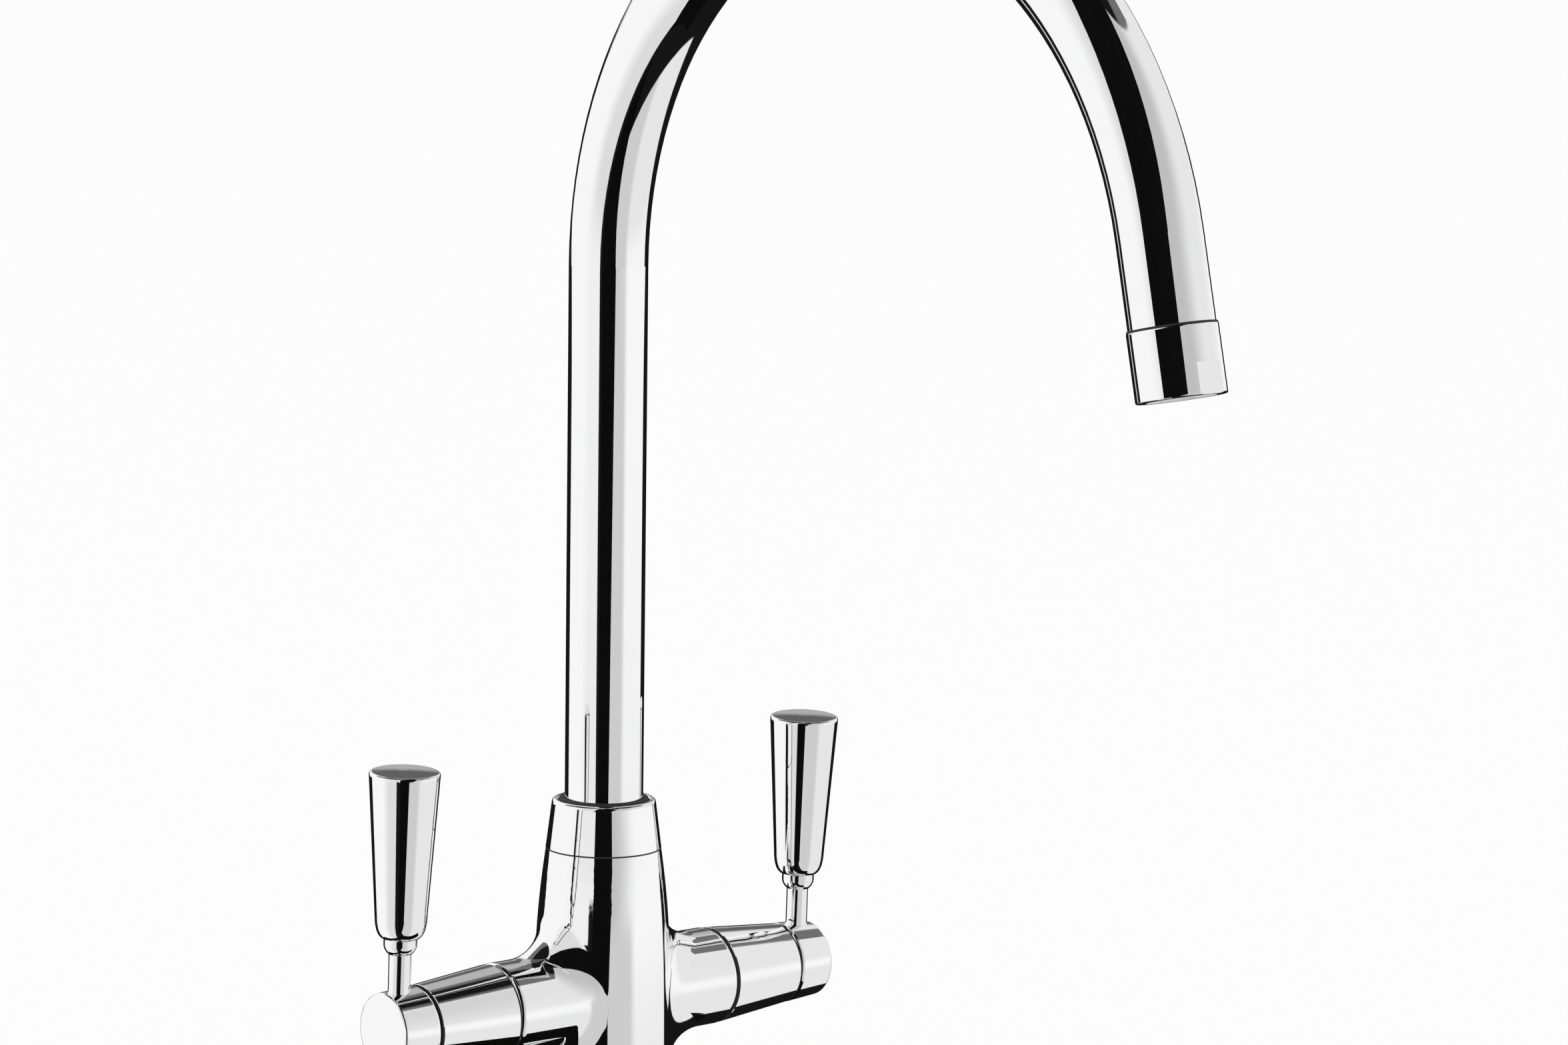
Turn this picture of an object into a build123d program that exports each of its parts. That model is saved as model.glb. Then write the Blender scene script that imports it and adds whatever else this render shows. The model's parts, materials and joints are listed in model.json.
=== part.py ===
from build123d import *
import math
import os

# Deck-mounted kitchen mixer tap with a swan-neck spout and two lever valves.
# Millimetres. The origin is the centre of the foot on the deck plane, +Z is up,
# the spout reaches towards -Y and the two valve arms lie along +X and -X.

# ---- tower: straight at the foot, tapering in to the seam under the collar ----
TOWER_RADIUS = 19.4
TAPER_START = 18.0
TAPER_PULL_LOW = 60.0
TAPER_PULL_HIGH = 72.5
TAPER_PULL_IN = 0.45
COLLAR_SEAM_HEIGHT = 92.0
COLLAR_SEAM_RADIUS = 16.15
FOOT_RADIUS = 20.2
FOOT_SPIGOT_RADIUS = 17.0
FOOT_SPIGOT_HEIGHT = 2.0
FOOT_BLEND_HEIGHT = 9.0

# ---- foot ring and its deck seal ----
FLANGE_RADIUS = 25.5
FLANGE_HEIGHT = 5.5
FLANGE_EDGE_HEIGHT = 1.2
FLANGE_CROWN_RADIUS = 24.3
FLANGE_CROWN_HEIGHT = 4.2
FLANGE_TOP_RADIUS = 21.6
BASE_SEAL_INNER = 20.9
BASE_SEAL_OUTER = 23.4
BASE_SEAL_DEPTH = 1.8

# ---- valve arms ----
ARM_HEIGHT = 50.0
STUB_RADIUS = 13.8
STUB_LENGTH = 39.0
STUB_EDGE_ROUND = 1.8
SADDLE_BLEND = 13.0
SLEEVE_START = 39.2
SLEEVE_END = 64.0
SLEEVE_START_RADIUS = 13.65
SLEEVE_END_RADIUS = 11.5
SLEEVE_WALL = 1.3
SLEEVE_EDGE_CHAMFER = 0.2
CAP_START = 64.3
CAP_RIM = 76.4
CAP_START_RADIUS = 11.45
CAP_RIM_RADIUS = 10.8
CAP_INNER_ROUND = 1.4
CAP_RIM_ROUND = 0.9
CAP_DOME = 0.7
CAP_SPIGOT_LENGTH = 2.5
CAP_SPIGOT_CLEARANCE = 0.4

# ---- lever ----
LEVER_DISTANCE = 71.2
LEVER_LEAN = 2.2  # degrees towards the user, with the valve shut
STEM_RADIUS = 3.1
STEM_THREAD_RADIUS = 2.5
STEM_SEAT_HEIGHT = ARM_HEIGHT + 8.4
STEM_FOOT_HEIGHT = ARM_HEIGHT + 4.05
STEM_HOLE_BOTTOM = ARM_HEIGHT + 3.0
FERRULE_BOTTOM = 71.5
FERRULE_RADIUS = 4.6
FERRULE_LIP_RADIUS = 3.3
FERRULE_SHOULDER_RISE = 2.5
FERRULE_CURVE_RADIUS = 4.15
FERRULE_CURVE_RISE = 1.0
GRIP_BOTTOM = 75.8
GRIP_RIM = 122.1
GRIP_TOP_RADIUS = 9.75
GRIP_RIM_ROUND = 0.9
GRIP_DOME = 0.3
GRIP_LOW_RADIUS = 7.2
GRIP_SHOULDER_RISE = 6.2
GRIP_FOOT_RADIUS = 4.7
GRIP_PULL_RADIUS = 7.0
GRIP_PULL_RISE = 0.5
GRIP_HOLE_TOP = GRIP_BOTTOM + 16.0
GRIP_HOLE_SPARE = 1.0

# ---- spout ----
TUBE_RADIUS = 11.0
TUBE_WALL = 1.0
TUBE_BORE_RADIUS = TUBE_RADIUS - TUBE_WALL
TUBE_FOOT_HEIGHT = 83.0
BEND_RADIUS = 109.1
BEND_START_HEIGHT = 255.5
BEND_ANGLE = 167.0
TIP_LENGTH = 22.6

# ---- outlet, heights measured along the tip from the end of the tube ----
AERATOR_RADIUS = 11.5
AERATOR_LENGTH = 17.6
AERATOR_EDGE_ROUND = 0.5
FLAT_DEPTH = 0.7
FLAT_START = 9.6
NIPPLE_BORE_RADIUS = 8.4
NIPPLE_START = -8.0
NIPPLE_END = 7.0
WASHER_BORE_RADIUS = 7.6
WASHER_END = 8.2
CARTRIDGE_BORE_RADIUS = 7.9
CARTRIDGE_END = 15.8
CARTRIDGE_PLATE_RISE = 4.2
CARTRIDGE_PLATE_THICKNESS = 1.2
CARTRIDGE_HOLES = 12
CARTRIDGE_HOLE_RADIUS = 0.6
CARTRIDGE_HOLE_CIRCLE = 5.2
OUTLET_LIP_RADIUS = 8.9
SCREEN_THICKNESS = 1.4
SCREEN_HOLE_RADIUS = 0.78
SCREEN_HOLE_PITCH = 1.95
SCREEN_HOLE_RINGS = 4
SCREEN_BORDER = 1.2

# ---- spout seat in the tower ----
SOCKET_RADIUS = 12.0
SOCKET_FLOOR = 64.0
CHAMBER_RADIUS = 10.0
CHAMBER_FLOOR = 56.0
COUNTERBORE_RADIUS = 13.6
COUNTERBORE_FLOOR = 79.0
COLLAR_SPIGOT_BOTTOM = 84.0
COLLAR_TOP = 106.0
COLLAR_TOP_RADIUS = 14.6
COLLAR_LIP_ROUND = 1.2
COLLAR_RECESS_DEPTH = 2.2
COLLAR_SEAM_CHAMFER = 0.45
THRUST_FLANGE_BOTTOM = COUNTERBORE_FLOOR + 1.0
THRUST_CLEARANCE = 0.4
FOOT_BOTTOM = SOCKET_FLOOR + 0.5
FOOT_BORE_RADIUS = 8.0
FOOT_SPIGOT_TOP = TUBE_FOOT_HEIGHT + 9.0
SEAL_GROOVE_FLOOR = 10.35
SEAL_GROOVE_HALF_WIDTH = 1.0
SEAL_HEIGHTS = (67.5, 73.5)
RUNNING_CLEARANCE = 0.05
TURNING_GAP = 0.3

# ---- water inlets and passages ----
INLET_OFFSET_X = 7.5
INLET_OFFSET_Y = 3.0
INLET_THREAD_RADIUS = 4.5
INLET_THREAD_DEPTH = 14.0
INLET_BORE_RADIUS = 3.5
VALVE_FEED_RADIUS = 4.0
PASSAGE_RADIUS = 2.6
PASSAGE_LOW_END = (24.0, 0.0, 57.0)
PASSAGE_HIGH_END = (6.0, 0.0, 62.0)

# ---- fixing under the deck ----
DECK_THICKNESS = 30.0
STUD_OFFSET_Y = -10.0
STUD_RADIUS = 4.0
STUD_DEPTH = 14.0
STUD_END = -72.0
STUD_CHAMFER = 0.8
STUD_HOLE_RADIUS = STUD_RADIUS + 0.4
GASKET_TOP = -DECK_THICKNESS
GASKET_THICKNESS = 3.0
GASKET_RADIUS = 27.0
PLATE_TOP = GASKET_TOP - GASKET_THICKNESS
PLATE_THICKNESS = 2.5
PLATE_RADIUS = 26.0
HOSE_SLOT_HALF_WIDTH = 14.0
HOSE_SLOT_START = -4.0
NUT_TOP = PLATE_TOP - PLATE_THICKNESS
NUT_HEIGHT = 12.0
NUT_ACROSS_FLATS = 13.0

# ---- valve cartridge, distances from the tower axis along the arm ----
VALVE_BORE_RADIUS = 9.4
VALVE_THREAD_RADIUS = 10.4
VALVE_THREAD_CLEARANCE = 0.02
VALVE_SEAT = 19.0
VALVE_THREAD_START = 30.5
VALVE_THREAD_RUNOUT = 0.5
VALVE_CAGE_RADIUS = 8.5
SEAT_SEAL_BORE_RADIUS = 4.2
SEAL_END = 20.6
FIXED_DISC_END = 23.2
MOVING_DISC_END = 25.8
DRIVE_PLATE_END = 27.6
DISC_CAVITY_END = 30.0
DISC_RADIUS = 7.3
DISC_CAVITY_RADIUS = 7.6
DISC_WINDOW_INNER = 1.6
DISC_WINDOW_OUTER = 6.0
DISC_WINDOW_SWEEP = 82.0
DISC_WINDOW_MARGIN = 4.0
FIXED_WINDOW_ANGLE = 45.0
MOVING_WINDOW_ANGLE = 135.0
CAGE_WINDOW_WIDTH = 7.0
CAGE_WINDOW_MARGIN = 0.4
LUG_WIDTH = 2.4
LUG_DEPTH = 1.3
LUG_INNER = 6.1
LUG_THICKNESS = 0.8
LUG_NOTCH_CLEARANCE = 0.1
HEX_START = SLEEVE_START
HEX_END = HEX_START + 5.5
HEX_ACROSS_FLATS = 19.0
SLEEVE_RIB_END = HEX_END + 3.0
SLEEVE_RIB_CLEARANCE = 0.05
LOCKNUT_END = SLEEVE_RIB_END + 3.0
LOCKNUT_ACROSS_FLATS = 15.0
NECK_END = LOCKNUT_END + 4.0
NECK_RADIUS = 6.5
SPINDLE_RADIUS = 4.45
SPINDLE_SEALS = (34.0, 38.0)
SPINDLE_GROOVE_RADIUS = 3.1
SPINDLE_GROOVE_HALF_WIDTH = 0.9
CLIP_START = NECK_END + 0.1
CLIP_THICKNESS = 1.0
CLIP_INNER = 3.6
CLIP_OUTER = 5.8
CLIP_MOUTH_WIDTH = 4.6
SPLINE_START = NECK_END + 4.0
SPLINE_TEETH = 20
SPLINE_TIP_RADIUS = 4.0
SPLINE_ROOT_RADIUS = 3.6
SPLINE_SOCKET_RADIUS = 4.05
SPINDLE_END = 74.0
SPINDLE_END_GAP = 0.6

CUT_THROUGH = 1.0  # how far a cutting tool runs past the face that it breaks through

# ---------------------------------------------------------------- helpers

ARM_PLACE = Pos(0, 0, ARM_HEIGHT) * Rot(0, 90, 0)


def turned(*outline):
    """Solid turned about +Z from a closed outline of (radius, height) points."""
    return revolve(Plane.XZ * make_face(Polyline(*outline, close=True)), Axis.Z)


def turned_curve(*edges):
    """Solid turned about +Z from joined edges drawn as (radius, height)."""
    return revolve(Plane.XZ * make_face(edges), Axis.Z)


def ring(inner, outer, low, high):
    """Plain ring between two radii and two heights."""
    return turned((inner, low), (outer, low), (outer, high), (inner, high))


def rod(radius, low, high):
    """Solid round bar on the Z axis between two heights."""
    return Pos(0, 0, low) * Cylinder(radius, high - low, align=(Align.CENTER, Align.CENTER, Align.MIN))


def o_ring(centre_radius, section_radius, height):
    return Pos(0, 0, height) * Torus(centre_radius, section_radius)


def sector(inner, outer, start_angle, sweep, low, high):
    """Prism over a sector of a ring."""
    start = math.radians(start_angle)
    end = math.radians(start_angle + sweep)
    inner_start = (inner * math.cos(start), inner * math.sin(start))
    inner_end = (inner * math.cos(end), inner * math.sin(end))
    outer_start = (outer * math.cos(start), outer * math.sin(start))
    outer_end = (outer * math.cos(end), outer * math.sin(end))
    outline = [
        Line(inner_start, outer_start),
        CenterArc((0, 0), outer, start_angle, sweep),
        Line(outer_end, inner_end),
        CenterArc((0, 0), inner, start_angle, sweep),
    ]
    return Pos(0, 0, low) * extrude(make_face(outline), high - low)


def hexagon(across_flats, low, high):
    """Hexagonal prism on the Z axis."""
    profile = RegularPolygon(across_flats / 2, 6, major_radius=False)
    return Pos(0, 0, low) * extrude(profile, high - low)


def dome(edge_radius, edge_height, rise):
    """Arc from a rim in to the axis, level where it meets the axis."""
    bend = (edge_radius**2 + rise**2) / (2 * rise)
    half_angle = math.asin(edge_radius / bend) / 2
    middle = (bend * math.sin(half_angle), edge_height + rise - bend * (1 - math.cos(half_angle)))
    return ThreePointArc((edge_radius, edge_height), middle, (0, edge_height + rise))


def quarter_round(start, corner, end):
    """Quarter circle that rounds off a corner, from a point before it to a point after it."""
    centre = (start[0] + end[0] - corner[0], start[1] + end[1] - corner[1])
    share = math.sqrt(0.5)
    middle = (centre[0] + share * (corner[0] - centre[0]), centre[1] + share * (corner[1] - centre[1]))
    return ThreePointArc(start, middle, end)


def on_right_arm(piece):
    """Lays a piece turned about +Z along the right arm, its heights becoming distances along +X."""
    return ARM_PLACE * piece


def leaned(piece):
    """Turns a piece of a lever about the arm to the angle where the valve is shut."""
    return piece.rotate(Axis((0, 0, ARM_HEIGHT), (1, 0, 0)), LEVER_LEAN)


def on_right_lever(piece):
    """Moves a piece turned about +Z to the right lever."""
    return leaned(Pos(LEVER_DISTANCE, 0, 0) * piece)


# ---------------------------------------------------------------- body and foot


def tower():
    """Turned outside of the tower, from the foot spigot to the seam under the collar."""
    seam = (COLLAR_SEAM_RADIUS, COLLAR_SEAM_HEIGHT)
    return turned_curve(
        Polyline(
            seam,
            (0, COLLAR_SEAM_HEIGHT),
            (0, 0),
            (FOOT_SPIGOT_RADIUS, 0),
            (FOOT_SPIGOT_RADIUS, FOOT_SPIGOT_HEIGHT),
            (FOOT_RADIUS, FOOT_SPIGOT_HEIGHT),
            (FOOT_RADIUS, FLANGE_HEIGHT),
            (TOWER_RADIUS, FOOT_BLEND_HEIGHT),
            (TOWER_RADIUS, TAPER_START),
        ),
        Bezier(
            (TOWER_RADIUS, TAPER_START),
            (TOWER_RADIUS, TAPER_PULL_LOW),
            (TOWER_RADIUS - TAPER_PULL_IN, TAPER_PULL_HIGH),
            seam,
        ),
    )


def stub():
    """Outside of one valve stub, with its mouth edge rounded."""
    blank = rod(STUB_RADIUS, 0, STUB_LENGTH)
    mouth = blank.edges().sort_by(Axis.Z)[-1]
    return on_right_arm(fillet(mouth, STUB_EDGE_ROUND))


def valve_chamber():
    """Bores of one stub: disc chamber, thread and the passage in from the riser."""
    bores = rod(VALVE_BORE_RADIUS, VALVE_SEAT, VALVE_THREAD_START)
    bores += rod(VALVE_THREAD_RADIUS, VALVE_THREAD_START, STUB_LENGTH + CUT_THROUGH)
    bores += rod(VALVE_FEED_RADIUS, INLET_OFFSET_X, VALVE_SEAT)
    return on_right_arm(bores)


def outlet_passage():
    """Slanted drilling from one disc chamber up into the mixing chamber."""
    run = Vector(*PASSAGE_HIGH_END) - Vector(*PASSAGE_LOW_END)
    return Plane(origin=PASSAGE_LOW_END, z_dir=run) * rod(PASSAGE_RADIUS, 0, run.length)


def riser():
    """Threaded inlet and the bore above it, up to the arm."""
    bores = rod(INLET_THREAD_RADIUS, 0, INLET_THREAD_DEPTH)
    bores += rod(INLET_BORE_RADIUS, INLET_THREAD_DEPTH, ARM_HEIGHT + CUT_THROUGH)
    return Pos(INLET_OFFSET_X, INLET_OFFSET_Y, 0) * bores


def body_casting():
    """Cast body: tower and two stubs blended together, with their waterways."""
    right_stub = stub()
    shell = tower() + right_stub + mirror(right_stub, Plane.YZ)
    near_axis = 5.0
    arm_reach = STUB_RADIUS + 1.0
    saddle = [
        edge
        for edge in shell.edges()
        if near_axis < abs(edge.center().X) < TOWER_RADIUS and abs(edge.center().Z - ARM_HEIGHT) < arm_reach
    ]
    shell = fillet(saddle, SADDLE_BLEND)
    one_side = valve_chamber() + outlet_passage() + riser()
    shell -= one_side
    shell -= mirror(one_side, Plane.YZ)
    shell -= rod(CHAMBER_RADIUS, CHAMBER_FLOOR, SOCKET_FLOOR)
    shell -= rod(SOCKET_RADIUS, SOCKET_FLOOR, COUNTERBORE_FLOOR)
    shell -= rod(COUNTERBORE_RADIUS, COUNTERBORE_FLOOR, COLLAR_SEAM_HEIGHT)
    shell -= Pos(0, STUD_OFFSET_Y, 0) * rod(STUD_RADIUS, 0, STUD_DEPTH)
    return shell


def base_flange():
    """Trim ring under the foot, with a groove for the deck seal."""
    rim = (FLANGE_RADIUS, FLANGE_EDGE_HEIGHT)
    crown = (FLANGE_CROWN_RADIUS, FLANGE_CROWN_HEIGHT)
    shoulder = (FLANGE_TOP_RADIUS, FLANGE_HEIGHT)
    blank = turned_curve(
        Polyline(
            shoulder,
            (FOOT_RADIUS, FLANGE_HEIGHT),
            (FOOT_RADIUS, FOOT_SPIGOT_HEIGHT),
            (FOOT_SPIGOT_RADIUS, FOOT_SPIGOT_HEIGHT),
            (FOOT_SPIGOT_RADIUS, 0),
            (FLANGE_RADIUS, 0),
            rim,
        ),
        ThreePointArc(rim, crown, shoulder),
    )
    return blank - base_seal()


def base_seal():
    return ring(BASE_SEAL_INNER, BASE_SEAL_OUTER, 0, BASE_SEAL_DEPTH)


# ---------------------------------------------------------------- fixing under the deck


def horseshoe(outer_radius, low, high):
    """C-shaped plate round the stud, open to the rear for the two supply hoses."""
    slot = Pos(0, HOSE_SLOT_START, low) * Box(
        2 * HOSE_SLOT_HALF_WIDTH, 2 * outer_radius, high - low, align=(Align.CENTER, Align.MIN, Align.MIN)
    )
    stud_hole = Pos(0, STUD_OFFSET_Y, 0) * rod(STUD_HOLE_RADIUS, low, high)
    return rod(outer_radius, low, high) - slot - stud_hole


def deck_gasket():
    return horseshoe(GASKET_RADIUS, PLATE_TOP, GASKET_TOP)


def clamp_plate():
    return horseshoe(PLATE_RADIUS, NUT_TOP, PLATE_TOP)


def fixing_stud():
    shank = rod(STUD_RADIUS, STUD_END, STUD_DEPTH - 1)
    return Pos(0, STUD_OFFSET_Y, 0) * chamfer(shank.edges().filter_by(GeomType.CIRCLE), STUD_CHAMFER)


def fixing_nut():
    nut_bottom = NUT_TOP - NUT_HEIGHT
    blank = hexagon(NUT_ACROSS_FLATS, nut_bottom, NUT_TOP)
    return Pos(0, STUD_OFFSET_Y, 0) * (blank - rod(STUD_RADIUS, nut_bottom, NUT_TOP))


# ---------------------------------------------------------------- spout seat


def spout_foot():
    """Turned insert in the foot of the spout: seal grooves, thrust flange and tube spigot."""
    journal = SOCKET_RADIUS - RUNNING_CLEARANCE
    thrust = COUNTERBORE_RADIUS - THRUST_CLEARANCE
    blank = turned(
        (FOOT_BORE_RADIUS, FOOT_BOTTOM),
        (journal, FOOT_BOTTOM),
        (journal, THRUST_FLANGE_BOTTOM),
        (thrust, THRUST_FLANGE_BOTTOM),
        (thrust, TUBE_FOOT_HEIGHT),
        (TUBE_BORE_RADIUS, TUBE_FOOT_HEIGHT),
        (TUBE_BORE_RADIUS, FOOT_SPIGOT_TOP),
        (FOOT_BORE_RADIUS, FOOT_SPIGOT_TOP),
    )
    for height in SEAL_HEIGHTS:
        groove_bottom = height - SEAL_GROOVE_HALF_WIDTH
        groove_top = height + SEAL_GROOVE_HALF_WIDTH
        blank -= ring(SEAL_GROOVE_FLOOR, journal + CUT_THROUGH, groove_bottom, groove_top)
    return blank


def spout_o_rings():
    section = (SOCKET_RADIUS - RUNNING_CLEARANCE - SEAL_GROOVE_FLOOR) / 2
    return Compound([o_ring(SEAL_GROOVE_FLOOR + section, section, height) for height in SEAL_HEIGHTS])


def lower_glide_washer():
    bore = SOCKET_RADIUS + 0.2
    return ring(bore, COUNTERBORE_RADIUS - THRUST_CLEARANCE, COUNTERBORE_FLOOR, THRUST_FLANGE_BOTTOM)


def upper_glide_washer():
    bore = TUBE_RADIUS + 0.1
    return ring(bore, COUNTERBORE_RADIUS - THRUST_CLEARANCE, TUBE_FOOT_HEIGHT, COLLAR_SPIGOT_BOTTOM)


def spout_collar():
    """Screwed collar that holds the spout down, with a round lip and a recess round the tube."""
    bore = TUBE_RADIUS + TURNING_GAP
    recess_floor = COLLAR_TOP - COLLAR_RECESS_DEPTH
    lip_low = COLLAR_TOP - COLLAR_LIP_ROUND
    crest = COLLAR_TOP_RADIUS - COLLAR_LIP_ROUND
    lip_inner = crest - COLLAR_LIP_ROUND
    return turned_curve(
        Polyline(
            (lip_inner, lip_low),
            (lip_inner, recess_floor),
            (bore, recess_floor),
            (bore, COLLAR_SPIGOT_BOTTOM),
            (COUNTERBORE_RADIUS, COLLAR_SPIGOT_BOTTOM),
            (COUNTERBORE_RADIUS, COLLAR_SEAM_HEIGHT),
            (COLLAR_SEAM_RADIUS - COLLAR_SEAM_CHAMFER, COLLAR_SEAM_HEIGHT),
            (COLLAR_SEAM_RADIUS, COLLAR_SEAM_HEIGHT + COLLAR_SEAM_CHAMFER),
            (COLLAR_TOP_RADIUS, lip_low),
        ),
        quarter_round((COLLAR_TOP_RADIUS, lip_low), (COLLAR_TOP_RADIUS, COLLAR_TOP), (crest, COLLAR_TOP)),
        quarter_round((crest, COLLAR_TOP), (lip_inner, COLLAR_TOP), (lip_inner, lip_low)),
    )


# ---------------------------------------------------------------- spout

BEND_RADIANS = math.radians(BEND_ANGLE)
BEND_END = Vector(
    0,
    -BEND_RADIUS * (1 - math.cos(BEND_RADIANS)),
    BEND_START_HEIGHT + BEND_RADIUS * math.sin(BEND_RADIANS),
)
TIP_DIRECTION = Vector(0, -math.sin(BEND_RADIANS), math.cos(BEND_RADIANS))
TUBE_END = BEND_END + TIP_DIRECTION * TIP_LENGTH
OUTLET_PLACE = Plane(origin=TUBE_END, x_dir=(1, 0, 0), z_dir=TIP_DIRECTION)


def spout_path():
    """Centre line of the tube: riser, swan-neck bend and straight tip."""
    bend_middle = (
        0,
        -BEND_RADIUS * (1 - math.cos(BEND_RADIANS / 2)),
        BEND_START_HEIGHT + BEND_RADIUS * math.sin(BEND_RADIANS / 2),
    )
    bend_start = (0, 0, BEND_START_HEIGHT)
    return Wire(
        [
            Edge.make_line((0, 0, TUBE_FOOT_HEIGHT), bend_start),
            Edge.make_three_point_arc(bend_start, bend_middle, BEND_END),
            Edge.make_line(BEND_END, TUBE_END),
        ]
    )


def spout_tube():
    """Bent tube with a real wall."""
    section = Circle(TUBE_RADIUS) - Circle(TUBE_BORE_RADIUS)
    return sweep(Pos(0, 0, TUBE_FOOT_HEIGHT) * section, spout_path())


# ---------------------------------------------------------------- outlet


def outlet_nipple():
    """Threaded insert fixed in the end of the tube."""
    return OUTLET_PLACE * ring(NIPPLE_BORE_RADIUS, TUBE_BORE_RADIUS, NIPPLE_START, NIPPLE_END)


def aerator_housing():
    """Outlet housing with a turned-in lip and two spanner flats."""
    blank = ring(TUBE_BORE_RADIUS, AERATOR_RADIUS, 0, AERATOR_LENGTH)
    blank += ring(OUTLET_LIP_RADIUS, TUBE_BORE_RADIUS, CARTRIDGE_END, AERATOR_LENGTH)
    rims = blank.edges().filter_by(GeomType.CIRCLE)
    outer_rims = [rim for rim in rims if rim.radius > AERATOR_RADIUS - 0.1]
    blank = fillet(outer_rims, AERATOR_EDGE_ROUND)
    for bearing in (0, 180):
        waste = Pos(0, AERATOR_RADIUS - FLAT_DEPTH, FLAT_START) * Box(
            2 * AERATOR_RADIUS, AERATOR_RADIUS, AERATOR_LENGTH, align=(Align.CENTER, Align.MIN, Align.MIN)
        )
        blank -= Rot(0, 0, bearing) * waste
    return OUTLET_PLACE * blank


def aerator_washer():
    return OUTLET_PLACE * ring(WASHER_BORE_RADIUS, TUBE_BORE_RADIUS - 0.1, NIPPLE_END, WASHER_END)


def aerator_cartridge():
    """Plastic cup that mixes in air, open where the water enters."""
    plate_start = CARTRIDGE_END - CARTRIDGE_PLATE_RISE
    blank = ring(CARTRIDGE_BORE_RADIUS, TUBE_BORE_RADIUS - 0.15, WASHER_END, CARTRIDGE_END)
    blank += rod(CARTRIDGE_BORE_RADIUS + 0.1, plate_start, plate_start + CARTRIDGE_PLATE_THICKNESS)
    for step in range(CARTRIDGE_HOLES):
        hole = Pos(CARTRIDGE_HOLE_CIRCLE, 0, 0) * rod(CARTRIDGE_HOLE_RADIUS, WASHER_END, CARTRIDGE_END)
        blank -= Rot(0, 0, 360 / CARTRIDGE_HOLES * step) * hole
    return OUTLET_PLACE * blank


def aerator_screen():
    """Honeycomb outlet grid."""
    screen_end = CARTRIDGE_END + SCREEN_THICKNESS
    grid = rod(OUTLET_LIP_RADIUS - 0.1, CARTRIDGE_END, screen_end)
    for row in range(-SCREEN_HOLE_RINGS, SCREEN_HOLE_RINGS + 1):
        count = 2 * SCREEN_HOLE_RINGS + 1 - abs(row)
        for place in range(count):
            x = (place - (count - 1) / 2) * SCREEN_HOLE_PITCH
            y = row * SCREEN_HOLE_PITCH * math.sqrt(3) / 2
            if math.hypot(x, y) < OUTLET_LIP_RADIUS - SCREEN_BORDER:
                grid -= Pos(x, y, 0) * rod(SCREEN_HOLE_RADIUS, CARTRIDGE_END, screen_end)
    return OUTLET_PLACE * grid


# ---------------------------------------------------------------- valve cartridge, laid along the arm


def seat_seal():
    return ring(SEAT_SEAL_BORE_RADIUS, DISC_RADIUS + 0.1, VALVE_SEAT, SEAL_END)


def windowed_disc(radius, low, high, first_angle):
    """Ceramic disc with two opposite quarter windows."""
    disc = rod(radius, low, high)
    for turn in (0, 180):
        start_angle = first_angle + turn + DISC_WINDOW_MARGIN
        disc -= sector(DISC_WINDOW_INNER, DISC_WINDOW_OUTER, start_angle, DISC_WINDOW_SWEEP, low, high)
    return disc


def fixed_disc():
    return windowed_disc(DISC_RADIUS + 0.2, SEAL_END, FIXED_DISC_END, FIXED_WINDOW_ANGLE)


def moving_disc():
    """Turning ceramic disc, notched at its edge for the spindle's two lugs."""
    notch_length = 3.0
    notch_centre = LUG_INNER - LUG_NOTCH_CLEARANCE + notch_length / 2
    notch_floor = MOVING_DISC_END - LUG_DEPTH - LUG_NOTCH_CLEARANCE
    disc = windowed_disc(DISC_RADIUS, FIXED_DISC_END, MOVING_DISC_END, MOVING_WINDOW_ANGLE)
    for side in (-1, 1):
        disc -= Pos(0, side * notch_centre, notch_floor) * Box(
            LUG_WIDTH + 2 * LUG_NOTCH_CLEARANCE,
            notch_length,
            LUG_DEPTH + CUT_THROUGH,
            align=(Align.CENTER, Align.CENTER, Align.MIN),
        )
    return disc


def valve_body():
    """Screw-in brass body: disc cage with water windows, thread, hexagon and neck."""
    spindle_bore = SPINDLE_RADIUS + RUNNING_CLEARANCE
    thread = VALVE_THREAD_RADIUS - VALVE_THREAD_CLEARANCE
    thread_start = VALVE_THREAD_START + VALVE_THREAD_RUNOUT
    window_start = MOVING_DISC_END + CAGE_WINDOW_MARGIN
    window_length = DISC_CAVITY_END - CAGE_WINDOW_MARGIN - window_start
    blank = turned(
        (DISC_CAVITY_RADIUS, VALVE_SEAT),
        (VALVE_CAGE_RADIUS, VALVE_SEAT),
        (VALVE_CAGE_RADIUS, thread_start),
        (thread, thread_start),
        (thread, HEX_START),
        (NECK_RADIUS, HEX_START),
        (NECK_RADIUS, NECK_END),
        (spindle_bore, NECK_END),
        (spindle_bore, DISC_CAVITY_END),
        (DISC_CAVITY_RADIUS, DISC_CAVITY_END),
    )
    blank += hexagon(HEX_ACROSS_FLATS, HEX_START, HEX_END) - rod(NECK_RADIUS - 1, HEX_START, HEX_END)
    for turn in range(4):
        window = Pos(DISC_CAVITY_RADIUS, 0, window_start) * Box(
            4, CAGE_WINDOW_WIDTH, window_length, align=(Align.CENTER, Align.CENTER, Align.MIN)
        )
        blank -= Rot(0, 0, 45 + 90 * turn) * window
    return blank


def spline():
    """Toothed end of the spindle that drives the lever's cap."""
    points = []
    for step in range(2 * SPLINE_TEETH):
        radius = SPLINE_TIP_RADIUS if step % 2 == 0 else SPLINE_ROOT_RADIUS
        angle = math.pi * step / SPLINE_TEETH
        points.append((radius * math.cos(angle), radius * math.sin(angle)))
    teeth = extrude(make_face(Polyline(*points, close=True)), SPINDLE_END - SPLINE_START)
    return Pos(0, 0, SPLINE_START) * teeth


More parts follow.
